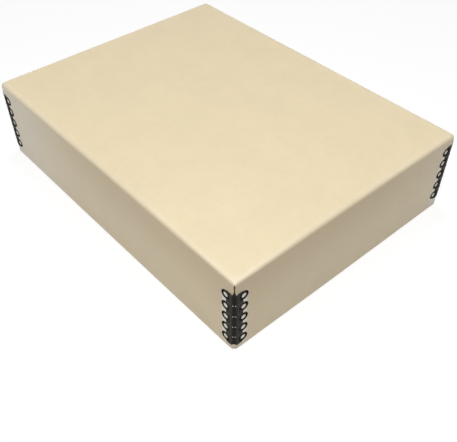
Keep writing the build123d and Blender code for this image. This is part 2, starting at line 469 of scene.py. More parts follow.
# %% [markdown]
# ## From two faces to a closed sheet
# Board and strip steel are both sheets: a front face, a back face a thickness away, and a narrow edge
# wherever the sheet was cut. A Solidify modifier could thicken a surface, but it gives both faces one
# shape, and the inside of a fold isn't the outside. So every piece here is made the same way. Its two
# faces are the same grid of points at two depths, the cells that were punched or slit out are left off,
# and the cut edges come by themselves, because they are the sides of cells that have no neighbour.

# %% Closed sheets from arrays
weld_within = 0.001 * mm


def grid_cells(columns, rows, keep=None):
    """The four corners of every kept cell of a grid of points, numbered row by row."""
    first = np.arange(rows - 1)[:, None] * columns + np.arange(columns - 1)[None, :]
    cells = np.stack([first, first + 1, first + columns + 1, first + columns], axis=-1)
    return cells[np.ones(first.shape, bool) if keep is None else keep]


def marks_of(names, size, **given):
    """The marks of a patch of so many points, flattened. A mark that isn't given is 0 all over."""
    return {name: np.ravel(given[name]) if name in given else np.zeros(size) for name in names}


def stacked(patches):
    """Several patches as one: each is (front points, back points, cells, marks)."""
    fronts, backs, cells, marks = zip(*patches)
    starts = np.cumsum([0] + [len(front) for front in fronts[:-1]])
    shifted = [patch + start for patch, start in zip(cells, starts)]
    merged = {name: np.concatenate([mark[name] for mark in marks]) for name in marks[0]}
    return np.concatenate(fronts), np.concatenate(backs), np.concatenate(shifted), merged


def close_sheet(front, back, cells, marks):
    """Welds points that share a place on both faces, then adds the back and the cut edges.

    An edge of a front cell is a cut edge if no other cell runs along it the opposite way."""
    places = np.round(np.hstack([front, back]) / weld_within).astype(np.int64)
    _, first, point = np.unique(places, axis=0, return_index=True, return_inverse=True)
    front, back = front[first], back[first]
    marks = {name: mark[first] for name, mark in marks.items()}
    cells, count = point.ravel()[cells], len(first)
    start, end = cells.ravel(), np.roll(cells, -1, axis=1).ravel()
    real = start != end
    start, end = start[real], end[real]
    cut = ~np.isin(start * count + end, end * count + start)
    start, end = start[cut], end[cut]
    sides = np.stack([end, start, start + count, end + count], axis=1)
    faces = np.concatenate([cells, cells[:, ::-1] + count, sides])
    points = np.concatenate([front, back])
    triangles = points[faces[:, [0, 1, 2, 0, 2, 3]]].reshape(-1, 3, 3)
    volume = np.einsum("ij,ij->i", triangles[:, 0], np.cross(triangles[:, 1], triangles[:, 2])).sum() / 6
    if volume < 0:
        faces = faces[:, ::-1]
    marks = {name: np.tile(mark, 2) for name, mark in marks.items()}
    marks["depth"] = np.repeat([0.0, 1.0], count)
    return points, faces, marks, len(sides)


def make_piece(name, patches, body, nodes, materials, smooth_below):
    """A closed sheet as a finished piece: its last material goes on the cut edges."""
    points, faces, marks, side_count = close_sheet(*stacked(patches))
    mesh = bpy.data.meshes.new(name)
    mesh.from_pydata(points.tolist(), [], [list(dict.fromkeys(face)) for face in faces.tolist()])
    for mark, values in marks.items():
        attribute = mesh.attributes.new(mark, "FLOAT", "POINT")
        attribute.data.foreach_set("value", values.astype(np.float32))
    for material in materials:
        mesh.materials.append(material)
    on_edge = np.arange(len(faces)) >= len(faces) - side_count
    mesh.polygons.foreach_set("material_index", np.where(on_edge, len(materials) - 1, 0))
    mesh.polygons.foreach_set("use_smooth", np.ones(len(faces), bool))
    mesh.set_sharp_from_angle(angle=smooth_below)
    mesh.update()
    piece = bpy.data.objects.new(name, mesh)
    bpy.context.scene.collection.objects.link(piece)
    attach(piece, body)
    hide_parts(*nodes)
    print(name, "has", len(points), "points and", len(faces), "faces")
    return piece


def board_piece(name, patches, body, nodes, finish):
    """A piece of board. A bevel rounds its cut edges, and nothing that is folded."""
    piece = make_piece(name, patches, body, nodes, [finish, cut_edge], radians(40))
    bevel = piece.modifiers.new("cut_edges", "BEVEL")
    bevel.width = edge_rounding
    bevel.segments = 2
    bevel.limit_method = "ANGLE"
    bevel.angle_limit = radians(60)


# %% [markdown]
# ## Sizes, read from the frame
# Sizes could all be typed in, but then the scene would part from the construction at its first change.
# So the lid and the tray are read off their boxes in the frame. What a box can't tell, such as the
# thickness of the board and the radius of its folds, is written here once, in millimetres.

# %% Sizes of the board
board = 1.5 * mm
fold_radius = 3.0 * mm
corner_slit = 0.7 * mm
slit_start = 3.0 * mm
front_clear = 0.3 * mm
edge_rounding = 0.18 * mm

lid_low, lid_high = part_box("lid_board")
tray_low, tray_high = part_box("tray_board")
front_low, front_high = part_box("drop_front")
lid_length, lid_width, lid_depth = lid_high - lid_low
tray_length, tray_height = tray_high.x - tray_low.x, tray_high.z
tray_width = tray_high.y - front_low.y
lid_half_x, lid_half_y = lid_length / 2 - fold_radius, lid_width / 2 - fold_radius
tray_half_x, tray_half_y = tray_length / 2 - fold_radius, tray_width / 2 - fold_radius
print("lid", [round(v / mm, 1) for v in (lid_length, lid_width, lid_depth)], "mm outside")

# %% [markdown]
# ## Sizes of a stay
# A stay is a strip bent round the corner, with a row of punched eyelets on each wing. Down the ridge,
# between the eyelets, small darts stiffen the bend. One end has a nib and the other a V notch, where
# the strip was parted from the next one. The prongs punched out of the eyelets go through slits in the
# board, so these sizes come before the board's grids, which leave the slits open. Heights count from
# the nib's tip, because the stays are driven one by one and each starts at its own distance from the
# panel. That distance is read from the frame.

# %% Sizes of the stays
metal = 0.4 * mm
nib_height = 3.4 * mm
band_reach = 8.4 * mm
eyelet_reach = 9.0 * mm
eyelet_radius = 4.3 * mm
eyelet_hole = 2.2 * mm
eyelet_pitch = 12.05 * mm
eyelet_count = 5
first_margin = 5.2 * mm
last_margin = 5.2 * mm
prong_width = 2.4 * mm
prong_clear = 0.1 * mm
clinch_length = 2.6 * mm

eyelet_heights = nib_height + first_margin + eyelet_pitch * np.arange(eyelet_count)
dart_heights = eyelet_heights[:-1] + eyelet_pitch / 2
band_end = eyelet_heights[-1] + last_margin
prong_root = eyelet_reach - eyelet_hole

sides = {"left": -1, "right": 1}
ends = {"front": -1, "back": 1}
lid_starts, tray_starts = {}, {}
for side_name, side_x in sides.items():
    for end_name, end_y in ends.items():
        lid_starts[side_x, end_y] = lid_high.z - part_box(f"lid_stay_{end_name}_{side_name}")[1].z
        tray_starts[side_x, end_y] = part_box(f"tray_stay_back_{side_name}")[0].z
print("the lid's stays start", [round(start / mm, 1) for start in lid_starts.values()], "mm below its top")

# %% [markdown]
# ## One blank, folded
# Lid and tray are each one scored blank: a panel with its walls folded up round it. A bevelled block
# would look like it from afar, but it has no inner face, no seams and no slits for the prongs.
# Picture the panel without its rim, a plain rectangle. Every point of the fold and the wall belongs to
# a point on that rectangle's border and a direction straight out from it, and at a corner the direction
# swings through a quarter turn while the border point stays. What is left is a profile: how far out and
# how far down a point lies. The profile starts as a quarter circle, the fold, and goes on straight, the
# wall. Border point plus direction times "out", and "down" for the height, gives the whole surface at
# once, first for the outer face and then, a board's thickness further in, for the inner one.

# %% The blank's border and profile
soft_fold = 4.0 * mm
fold_parts = np.array([0, 0.09, 0.18, 0.28, 0.39, 0.5, 0.59, 0.67, 0.76, 0.84, 0.92, 1])
slit_half_turn = corner_slit / 2 / (fold_radius - board / 2)
slit_edge = pi / 4 - slit_half_turn
wide_steps = np.radians([8, 16, 21])
steps_by_slit = slit_edge - np.radians([12, 8, 4, 0])
half_corner = np.array([*wide_steps, *steps_by_slit, pi / 4 - slit_half_turn / 2])
corner_turns = np.concatenate([half_corner, [pi / 4], pi / 2 - half_corner[::-1]])
slit_low = prong_root - metal - prong_clear - fold_radius
slit_high = prong_root + prong_clear - fold_radius
prong_half_slot = prong_width / 2 + prong_clear
usual_start = 8.0 * mm
wide_station = 7 * mm
close_stations = mm * np.array([0.0, 0.45, 0.95, 6, 7.5, 9, 10, 11.5, 18])


def ease(part):
    """From 0 to 1 with a level start and end: three squares less two cubes."""
    part = np.clip(part, 0, 1)
    return part**2 * (3 - 2 * part)


def side_stations(length):
    """Places along one side of the panel, close by the prong slits and even between them."""
    near = np.sort(np.concatenate([close_stations, [slit_low / 2, slit_low, slit_high]]))
    steps = int(round((length - 2 * near[-1]) / wide_station))
    middle = np.linspace(near[-1], length - near[-1], steps + 1)
    return np.concatenate([near, middle[1:-1], (length - near)[::-1]])


def profile_rows(height):
    """The wall's rows, each as a fixed distance down plus a share of the stay's start.

    They are a few rows between the fold and the stay, both ends of each prong slit, and the rim."""
    shares = np.array([0.45, 0.65, 0.85])
    slots = np.concatenate([eyelet_heights - prong_half_slot, eyelet_heights + prong_half_slot])
    between = (eyelet_heights[:-1] + eyelet_heights[1:]) / 2
    moving = np.sort(np.concatenate([[3 * mm], slots, between]))
    fixed = np.concatenate([soft_fold * (1 - shares), moving, [height]])
    return fixed, np.concatenate([shares, np.ones(len(moving)), [0.0]])


def levels(height):
    """How far down all rows lie where the stay starts at its usual distance."""
    fixed, share = profile_rows(height)
    return np.concatenate([soft_fold * (1 - np.cos(fold_parts * pi / 2)), fixed + share * usual_start])


def fold_onset(radius, crisp, to_edge):
    """How far the panel has already turned down near its border, where the fold's curve begins."""
    past = np.maximum(radius - fold_radius - to_edge, 0) / radius
    return radius * (1 - (1 - past**crisp) ** (1 / crisp))


print("the fold has", len(fold_parts), "rows and a corner", len(corner_turns), "columns")

# %% [markdown]
# ## What folding and handling do to board
# Board is never quite flat or square. A wall swells a little between its corners and draws in just
# under its crease, and a slit's edges are pressed round.
# One corner of this lid, the one that is picked up most, shows more. Its panel hangs more than a
# millimetre, its folds are pinched, and its foot is worn short. Above the stay nothing pulls its two
# walls round, so the plan is squarer there and the seam gapes, while below the stay draws it shut.
# The other corners are a little rounder above their stays.
# All this could be pulled into shape by hand. Here each is a small term added to the profile, a short
# function or a value, so that it can be seen and changed by itself.

# %% Small unevenness
droop_depth = 1.45 * mm
droop_inside = 0.25 * mm
droop_reach = (85 * mm, 65 * mm)
pinched = 0.8
pushed_out = 0.32 * mm
worn_foot = 0.7 * mm
seam_drawn = 0.75
seam_drawn_over = 8 * mm
square_power = 10.0
slit_roll_depth = 0.55 * mm
slit_roll_reach = 1.2 * mm
crease_dip_depth = 0.35 * mm
crease_dip_reach = 6.0 * mm
near_squareness = 1.35
far_roundness = 0.4
wave_height = 0.25
wave_count = 1.5
wave_phase = 0.13


def by_near_corner(x, y):
    """A bell, 1 at the near corner: e to the minus squared distance, each way over its own reach."""
    return np.exp(-(((x - lid_half_x) / droop_reach[0]) ** 2) - ((y + lid_half_y) / droop_reach[1]) ** 2)


def fold_section(near):
    """The outer fold's radius and exponent: soft, but pinched close to the near corner."""
    pinch = near**4
    return soft_fold - (soft_fold - fold_radius) * pinch, 2 + pinched * pinch


def seam_shift(swing, down, start):
    """How far a corner's point swings towards the diagonal, because the stay draws the seam together."""
    to_diagonal = pi / 4 - swing % (pi / 2)
    beside = 1 - ease((np.abs(to_diagonal) - slit_half_turn) / radians(20))
    shift = np.sign(to_diagonal) * slit_half_turn * seam_drawn * beside
    return shift * ease((down - start) / seam_drawn_over)


def bow(along, length, down, height, swell):
    """The wall swells by a squared sine along it, most at the rim, with a slow wave added."""
    span = np.clip(along / length, 0, 1)
    arch = np.sin(pi * span) ** 2
    wave = wave_height * np.sin(2 * pi * (wave_count * span + wave_phase)) * arch
    return swell * (arch + wave) * np.clip(down / height, 0, 1) ** 1.5


def crease_dip(down, gap):
    """With t the distance below the fold over its reach, the wall draws in by depth times t e^(1 - t)."""
    below = np.maximum(down - soft_fold, 0) / crease_dip_reach
    clear_of_stay = 1 - np.exp(-0.5 * (gap / (15 * mm)) ** 2)
    return crease_dip_depth * below * np.exp(1 - below) * clear_of_stay


def squarer(heading, share):
    """How much further out a corner reaches than a circle, as a factor.

    The squarer plan is |cos|^n + |sin|^n = 1, followed as far as share says."""
    power = square_power
    plan = (np.abs(heading[..., 0]) ** power + np.abs(heading[..., 1]) ** power) ** (-1 / power)
    return 1 + share * (plan - 1)


def slit_roll(swing, down):
    """The outer face turns in at a slit's edge along a quarter ellipse."""
    from_edge = (np.abs(swing % (pi / 2) - pi / 4) - slit_half_turn) * fold_radius
    inside = np.clip(from_edge / slit_roll_reach, 0, 1)
    inside = np.where(from_edge < -1e-7, 1.0, inside)
    return slit_roll_depth * (1 - np.sqrt(1 - (1 - inside) ** 2)) * ease((down - slit_start) / mm)


def folded_sheet(walk, height, swell, handled=0.0):
    """Both faces of the fold and the wall rows over a border.

    A fold is a quarter of the curve |x|^n + |z|^n = 1, which is a circle for an n of 2: out is its
    radius times the sine of the turn to the power 2/n, and down is the radius less the same of the
    cosine. The outer one is softer than the inner and begins a millimetre in on the panel, except
    at the handled corner, where it is pinched. Past the quarter turn, out stays and down runs on.
    Two factors on out make a corner squarer or rounder, and push its right wall, above the stay."""
    fixed, share = profile_rows(height)
    wall_rows = fixed[:, None] + share[:, None] * walk["start"][None]
    x, y = walk["place"].T
    near = handled * by_near_corner(x, y)
    swing = np.arctan2(walk["heading"][:, 1], walk["heading"][:, 0])
    gap = np.minimum(walk["along"], walk["length"] - walk["along"])
    wall_rows[-1] -= worn_foot * near * np.exp(-np.maximum(gap, 0) / (3 * mm))
    inner = fold_radius - board
    to_right = np.maximum(walk["heading"][:, 0], 0) ** 2
    soft_radius, crisp = fold_section(near)
    faces = []
    for radius, reach, first, depth in (
        (soft_radius, fold_radius, 0.0, droop_depth),
        (inner, inner, board, droop_inside),
    ):
        start = np.arcsin(np.maximum(1 - reach / radius, 0) ** (crisp / 2))
        turns = start + (pi / 2 - start) * fold_parts[:, None]
        fold_down = radius * (1 - np.clip(np.cos(turns), 0, 1) ** (2 / crisp))
        fold_out = radius * np.sin(turns) ** (2 / crisp) + reach - radius
        down = np.concatenate([first + fold_down + depth * near, wall_rows])
        out = np.concatenate([fold_out, np.full(wall_rows.shape, reach)])
        if first == 0:
            out = out - slit_roll(swing, down - depth * near) * walk["corner"]
        turned = swing + seam_shift(swing, down, walk["start"])
        heading = np.stack([np.cos(turned), np.sin(turned)], axis=-1)
        above = 1 - ease((down - 0.4 * walk["start"]) / (0.5 * walk["start"]))
        out = out * squarer(heading, above * (near_squareness * near - far_roundness * handled))
        out = out * (1 + pushed_out / fold_radius * above * to_right * near)
        swollen = bow(walk["along"], walk["length"], down, height, swell) - crease_dip(down, gap)
        flat = walk["place"] + heading * (out + swollen)[..., None]
        faces.append(np.concatenate([flat, down[..., None]], axis=2))
    return faces[0], faces[1]


print("the near corner hangs by", round(droop_depth / mm, 2), "mm")

# %% [markdown]
# ## Where the board shows its age, and its painted light
# The finishes need to know how near a point is to a fold, to a corner and to a stay. A shader can
# measure that only from the box's outside sizes, which it would have to be told. So these marks are
# worked out with the shape and stored on the mesh, as numbers from 0 to about 1.
# Driving a stay bruises the face pale under it and round it. Painted shade darkens the walls just
# under the folds and at their feet, and a painted sheen lightens the walls' far ends.

# %% Marks on the board
# How far the paler rubbing and painted highlight reach from corners and folds.
rub_and_highlight_by_corner = 3.0 * mm
rub_and_highlight_by_fold = 1.5 * mm
foot_reach = 5.0 * mm
shade_reach = 30 * mm
# Painted shade just under the folds and at the feet:
shade_least = 0.3
foot_shade = 1.4
# Painted sheen: the walls' far ends are lightened.
painted_sheen_most = 0.52
bruise_past_side = 7.0 * mm
bruise_past_end = 2.0 * mm


def near_corner_mark(gap, down, height):
    """1 round the corner, fading along the wall; a little stronger at the top and gone at the foot. It
    lightens as rubbing and painted highlight.
    """
    to_foot = np.maximum(height - down, 0)
    by_height = (0.55 + 0.45 * np.exp(-down / (8 * mm))) * ease(to_foot / (12 * mm))
    return np.exp(-np.maximum(gap, 0) / rub_and_highlight_by_corner) * by_height


def near_fold_mark(down):
    """1 on the fold's turn, fading over a few millimetres down the wall. It lightens as rubbing and painted
    highlight.
    """
    return np.exp(-np.maximum(down - soft_fold, 0) / rub_and_highlight_by_fold)


def from_near_corner(place):
    """The distance from the near corner, in plan."""
    return np.hypot(place[:, 0] - lid_half_x, place[:, 1] + lid_half_y)


def painted_sheen_mark(place):
    """A painted sheen on the walls' far ends: 0 as far as 190 mm from the near corner, and from there it
    eases up over 150 mm.
    """
    return painted_sheen_most * ease((from_near_corner(place) - 190 * mm) / (150 * mm))


def foot_mark(gap, down, height):
    """1 at a foot, the corner of the rim that the box is set down on, fading over a few millimetres."""
    return np.exp(-(np.maximum(height - down, 0) + np.maximum(gap, 0)) / foot_reach)


def painted_shade_mark(place, gap, down, height):
    """Painted shade: 1 just under the fold, fading as a bell over 30 mm to a third.

    It is weaker towards the far corners, and the four feet, where the box stands, get it too."""
    below = down - droop_depth * by_near_corner(*place.T)
    bell = np.exp(-((np.maximum(below - soft_fold, 0) / shade_reach) ** 2))
    often = 1 - 0.85 * ease((from_near_corner(place) - 120 * mm) / (200 * mm))
    shade_under_fold = (shade_least + (1 - shade_least) * bell) * ease(below / soft_fold) * often
    return np.maximum(shade_under_fold, foot_shade * foot_mark(gap, down, height))


def bruised_mark(gap, down, start, height):
    """1 under a stay, fading over two millimetres past its eyelets and its ends."""
    beside = 1 - ease((gap - bruise_past_side) / (4.5 * mm))
    past_top = ease((down - start - 3.0 * mm) / (2.5 * mm))
    past_end = 1 - ease((down - start - band_end + 1.5 * mm) / bruise_past_end)
    return beside * past_top * past_end * (1 - foot_mark(gap, down, height))


print("marks: fold, corner, bruise and handled")

# %% [markdown]
# ## Laying out the walls
# The border is walked side by side. Slits and slots could be cut out of the finished sheet with
# booleans, which leave ragged cells. Here the grid already has a line wherever something is cut, so
# cells are only left off: a narrow column down each corner, where two walls only butt together, and a
# short slot for every prong.

# %% Walls of a blank
# Each side as the corner where it ends, the step back along it, and the way that it faces
sides_in_order = [
    ((-1, 1), (0, -1), (-1, 0)),
    ((1, 1), (-1, 0), (0, 1)),
    ((1, -1), (0, 1), (1, 0)),
    ((-1, -1), (1, 0), (0, -1)),
]


def walk_border(half_x, half_y, starts, front_open, wall_start):
    """The border, side by side: place, heading, distance along the side, its length, and more.

    A closed blank starts and ends at its front left corner. An open one starts at the front end of
    its left wall, which stands wall_start past the panel, and ends at that of its right wall."""
    walk = {"place": [], "heading": [], "along": [], "length": [], "corner": [], "start": []}

    def add(place, heading, along, length, corner, start):
        count = len(along)
        walk["place"].append(np.broadcast_to(place, (count, 2)))
        walk["heading"].append(np.broadcast_to(heading, (count, 2)))
        walk["along"].append(along)
        walk["length"].append(np.full(count, length))
        walk["corner"].append(np.full(count, corner))
        walk["start"].append(np.broadcast_to(start, count))

    before = (-1, -1)
    for number, (end, back_step, normal) in enumerate(sides_in_order[: 3 if front_open else 4]):
        length = 2 * (half_y if back_step[0] == 0 else half_x)
        steps = side_stations(length)
        if front_open and number == 0:
            steps = np.concatenate([[-wall_start], steps])
        if front_open and number == 2:
            steps = np.concatenate([steps, [length + wall_start]])
        tip = np.array(end) * (half_x, half_y)
        start = starts[before] + (starts[end] - starts[before]) * ease((steps / length - 0.12) / 0.76)
        add(tip + np.array(back_step) * (length - steps)[:, None], normal, steps, length, False, start)
        before = end
        if front_open and number == 2:
            break
        turning = np.array([normal[1], -normal[0]])
        swing = np.cos(corner_turns)[:, None] * normal + np.sin(corner_turns)[:, None] * turning
        add(tip, swing, np.full(len(corner_turns), length), length, True, starts[end])
    walk = {name: np.concatenate(parts) for name, parts in walk.items()}
    if not front_open:
        walk = {name: np.concatenate([part, part[:1]]) for name, part in walk.items()}
    return walk


def wall_patch(half_x, half_y, height, place, starts, swell, front_open=False, wall_start=0.0, handled=0.0):
    """The folds and walls of a blank, as a patch with its slits left open."""
    walk = walk_border(half_x, half_y, starts, front_open, wall_start)
    front, back = folded_sheet(walk, height, swell, handled)
    rows, columns = front.shape[:2]
    level = levels(height)
    row_middle = (level[1:] + level[:-1])[:, None] / 2
    keep = np.ones((rows - 1, columns - 1), bool)
    heading, corner = walk["heading"], walk["corner"]
    middle = heading[1:] + heading[:-1]
    off_diagonal = np.abs(np.abs(np.arctan2(middle[:, 1], middle[:, 0])) % (pi / 2) - pi / 4)
    in_slit = corner[1:] & corner[:-1] & (off_diagonal < slit_half_turn)
    keep[(row_middle > slit_start) & in_slit[None]] = False
    gap = np.minimum(walk["along"], walk["length"] - walk["along"])
    gap_middle = (gap[1:] + gap[:-1]) / 2
    has_stay = (walk["place"][:, 1] > 0) | (not front_open)
    by_prong = (gap_middle > slit_low) & (gap_middle < slit_high) & ~corner[1:] & ~corner[:-1] & has_stay[1:]
    in_slot = (np.abs(row_middle - usual_start - eyelet_heights[None]) < prong_half_slot).any(axis=1)
    keep[in_slot[:, None] & by_prong[None]] = False
    if front_open:
        outside = (walk["place"][1:, 1] + walk["place"][:-1, 1]) / 2 < -half_y
        keep[(row_middle < fold_radius) & outside[None]] = False
    down = front[..., 2]
    bruise = bruised_mark(gap[None], down, walk["start"][None], height) * has_stay[None]
    # A painted sheen lightens the walls' far ends; it joins the bruise mark.
    painted_sheen = handled * painted_sheen_mark(walk["place"]) * ease(down / (2 * soft_fold))
    marks = marks_of(
        board_marks,
        down.size,
        fold=near_fold_mark(down),
        corner=near_corner_mark(gap[None], down, height),
        bruise=np.maximum(bruise, painted_sheen),
        # This mark is painted shade under the folds and at the feet.
        handled=painted_shade_mark(walk["place"], gap[None], down, height),
    )
    return place(front.reshape(-1, 3)), place(back.reshape(-1, 3)), grid_cells(columns, rows, keep), marks


def panel_patch(half_x, half_y, place, sag, handled=0.0):
    """The flat panel inside the folds; it hollows by sag at its middle, as wide board does."""
    xs = side_stations(2 * half_x) - half_x
    ys = side_stations(2 * half_y) - half_y
    x, y = np.meshgrid(xs, ys)
    hollow = sag * np.cos(pi * x / (2 * half_x)) ** 2 * np.cos(pi * y / (2 * half_y)) ** 2
    to_edge = np.minimum(half_x - np.abs(x), half_y - np.abs(y))
    near = handled * by_near_corner(x, y)
    onset = fold_onset(*fold_section(near), to_edge)
    front = np.stack([x, y, hollow + onset + droop_depth * near], axis=-1).reshape(-1, 3)
    back = np.stack([x, y, hollow + board + droop_inside * near], axis=-1).reshape(-1, 3)
    to_corner = np.hypot(half_x - np.abs(x), half_y - np.abs(y))
    # The panel's border is lightened too, by rubbing and a painted highlight.
    by_fold, by_corner = np.exp(-to_edge / rub_and_highlight_by_fold), np.exp(-to_corner / rub_and_highlight_by_corner)
    marks = marks_of(board_marks, x.size, fold=by_fold, corner=by_corner)
    return place(front), place(back), grid_cells(len(xs), len(ys)), marks


print("walls and panel are laid out by two functions")

# %% [markdown]
# ## The lid
# The lid hides all the rest, and it is the only piece whose handling shows. Its panel is on top, so its
# blank is placed upside down: "down" counts from the top face. The bevel on board, finer than a fifth
# of a millimetre, takes the sharpness off the knife-cut edges.

# %% Lid board
bow_of_lid = 0.30 * mm
sag_of_lid = 0.25 * mm


def panel_up(points):
    """Hangs a blank from the lid's top face."""
    return points * (1, 1, -1) + (0, 0, lid_high.z)


lid_walls = wall_patch(lid_half_x, lid_half_y, lid_depth, panel_up, lid_starts, bow_of_lid, handled=1.0)
lid_panel = panel_patch(lid_half_x, lid_half_y, panel_up, sag_of_lid, handled=1.0)
board_piece("lid", [lid_walls, lid_panel], "lid", ["lid_board"], lid_finish)

# %% [markdown]
# ## The tray
# The tray is what the papers lie in. Its blank has a bottom, a back wall and two end walls. It could be
# a closed blank with one wall cut away, but the walk round the border can as well stop short: it leaves
# the front open, and its end walls stand a little past the bottom panel, up to the back of that front.

# %% Tray board
bow_of_tray = 0.15 * mm
tray_reach = fold_radius - board - front_clear


def panel_down(points):
    """A blank that stands on the table is there already."""
    return points


tray_walls = wall_patch(
    tray_half_x,
    tray_half_y,
    tray_height,
    panel_down,
    tray_starts,
    bow_of_tray,
    front_open=True,
    wall_start=tray_reach,
)
tray_bottom = panel_patch(tray_half_x, tray_half_y, panel_down, 0.0)
board_piece("tray", [tray_walls, tray_bottom], "tray", ["tray_board"], tray_finish)

# %% [markdown]
# ## The drop front
# The front wall hangs on nothing but its crease, a quarter circle that runs on into the bottom panel.
# With the lid on it can't fall. It could be folded up with the tray, but it has to be a piece of its
# own, because it turns. The same profile as the walls' makes it, along one straight border.

# %% Drop front
front_margin = 4 * mm
# Strength of the rubbing and painted highlight at the front's ends.
front_rub_and_highlight = 0.5


def drop_front_patch():
    """The wall profile drawn along the box's front, between the end walls."""
    span = front_high.x
    along = np.concatenate([[0.0], np.linspace(front_margin, 2 * span - front_margin, 45), [2 * span]])
    count = len(along)
    walk = {
        "place": np.stack([along - span, np.full(count, -tray_half_y)], axis=1),
        "heading": np.broadcast_to([0.0, -1.0], (count, 2)),
        "along": along,
        "length": np.full(count, 2 * span),
        "corner": np.zeros(count, bool),
        "start": np.full(count, usual_start),
    }
    front, back = folded_sheet(walk, tray_height, bow_of_tray)
    down = front[..., 2]
    gap = np.minimum(along, 2 * span - along)
    by_corner = front_rub_and_highlight * near_corner_mark(gap[None], down, tray_height)
    marks = marks_of(board_marks, down.size, fold=near_fold_mark(down), corner=by_corner)
    return front.reshape(-1, 3), back.reshape(-1, 3), grid_cells(count, len(down)), marks


board_piece("front", [drop_front_patch()], "tray", ["drop_front"], front_finish)

# %% [markdown]
# ## A stay, flattened
# A stay is easiest to draw as flat strip and to bend afterwards. A point on the strip has three
# numbers: how far across it lies from the corner, how far down from the panel, and how high it stands
# above the board. Bending is one formula. Across less than the fold's radius, the point goes round the
# bend's axis, and beyond that it goes straight along the wall.

# %% Bending the strip round the corner


def round_the_bend(turn, height, down):
    """A point of the ridge, by its angle from the corner's diagonal, + towards the right wall.

    It lies a radius from the bend's axis, which stands a fold's radius in from both walls."""
    radius = fold_radius + height
    angle = turn + pi / 4
    x, y = radius * np.sin(angle) - fold_radius, fold_radius - radius * np.cos(angle)
    return np.stack([x, y, down], axis=-1)


def on_wing(side, across, height, down):
    """A point of a wing: side is 1 on the right wall and -1 on the front wall."""
    if side > 0:
        return np.stack([height, across, down], axis=-1)
    return np.stack([-across, -height, down], axis=-1)


corner_tip = round_the_bend(0.0, 0.0, 0.0)
print("the bend's tip lies", round(-corner_tip[0] / mm, 2), "mm inside the walls' own corner")

# %% [markdown]
# ## The ridge and its darts
# The ridge is the strip's bent middle, a grid over the turn and the distance down. Its first and last
# rows aren't level: two small relief nicks flank the nib, and at the other end the rows run into the V
# notch. A dart is a stiffening bead pressed out across the bend. Its two ends stand proudest, which is
# why each dart catches the light as a pair of points. A bump in the material could shade such points,
# but from the side they would be gone, so the grid itself rises there, on rows set close together.

# %% Ridge, nib and notch
nib_half_width = 1.5 * mm
notch_height = 2.2 * mm
notch_half_width = 2.4 * mm
nick_depth = 0.7 * mm
dart_rise = 0.36 * mm
dart_half_height = 0.85 * mm
dart_end = 0.95 * mm
dart_end_half_width = 0.80 * mm
dart_dip = 0.15 * mm
rim_roll_reach = 0.3 * mm
rim_wear_reach = 0.25 * mm
rolled_share = 0.45
sunk = 0.05 * mm
outer_radius = fold_radius + metal

ridge_sides = [np.linspace(-45, -27, 7), np.linspace(-24, 24, 17), np.linspace(27, 45, 7)]
ridge_turns = np.radians(np.concatenate(ridge_sides))


def ridge_rows():
    """Distances down for the ridge's rows: close together across each dart, wider between."""
    near = np.linspace(-1.2 * mm, 1.2 * mm, 13)
    by_darts = (dart_heights[:, None] + near[None]).ravel()
    edges = np.array([nib_height, nib_height + rim_roll_reach, band_end - rim_roll_reach, band_end])
    between = np.concatenate([centre + np.linspace(-3.6 * mm, 3.6 * mm, 6) for centre in eyelet_heights])
    return np.sort(np.concatenate([edges, by_darts, between]))


def dome(distance):
    """A smooth hump: 1 at the middle, 0 from a distance of 1 on."""
    return np.where(distance < 1, 0.5 + 0.5 * np.cos(pi * np.clip(distance, 0, 1)), 0.0) ** 0.8


def dart_relief(turn, down):
    """Height of the darts above the sheet: two domes for each, with a dip between them."""
    across = outer_radius * turn
    height = np.zeros(np.broadcast(turn, down).shape)
    for centre in dart_heights:
        drop = (down - centre) / dart_half_height
        for end in (-dart_end, dart_end):
            height += dart_rise * dome(np.hypot((across - end) / dart_end_half_width, drop))
        height -= dart_dip * dome(np.hypot(across / (0.6 * mm), drop - 0.5))
    return height


def rim_roll(distance, reach):
    """How far a punched rim rolls down, from the rim inwards: a quarter ellipse."""
    inside = np.clip(distance / reach, 0, 1)
    return rolled_share * metal * (1 - np.sqrt(1 - (1 - inside) ** 2))


def ridge_patch():
    """The bent middle of the strip, from its end beside the nib to the V notch.

    Its cells are walked the other way round, so that they face as those of the nib and wings do."""
    turn, down = np.meshgrid(ridge_turns, ridge_rows())
    chord = outer_radius * np.sin(np.abs(turn))
    nick = nick_depth * dome(np.abs(chord - 2.0 * mm) / (0.55 * mm))
    notch = notch_height * np.clip(1 - chord / notch_half_width, 0, 1)
    at_top = np.clip(1 - (down - nib_height) / (3 * mm), 0, 1)
    at_end = np.clip(1 - (band_end - down) / (5.5 * mm), 0, 1)
    placed = down + nick * at_top - notch * at_end
    foot = np.minimum(down - nib_height, band_end - down)
    relief = dart_relief(turn, placed)
    height = metal + relief - rim_roll(foot, rim_roll_reach)
    front = round_the_bend(turn, height, placed)
    back = round_the_bend(turn, np.full(turn.shape, -sunk), placed)
    # The ridge mark is painted shade down the bent middle.
    by_rim, ridge_shade = np.exp(-foot / rim_wear_reach), np.clip(np.cos(turn * 1.6), 0, 1) ** 0.7
    on_dart = np.clip(relief / dart_rise, 0, 1)
    marks = marks_of(stay_marks, turn.size, rim=by_rim, ridge=ridge_shade, dart=on_dart)
    cells = grid_cells(*turn.shape[::-1])[:, [0, 3, 2, 1]]
    return front.reshape(-1, 3), back.reshape(-1, 3), cells, marks


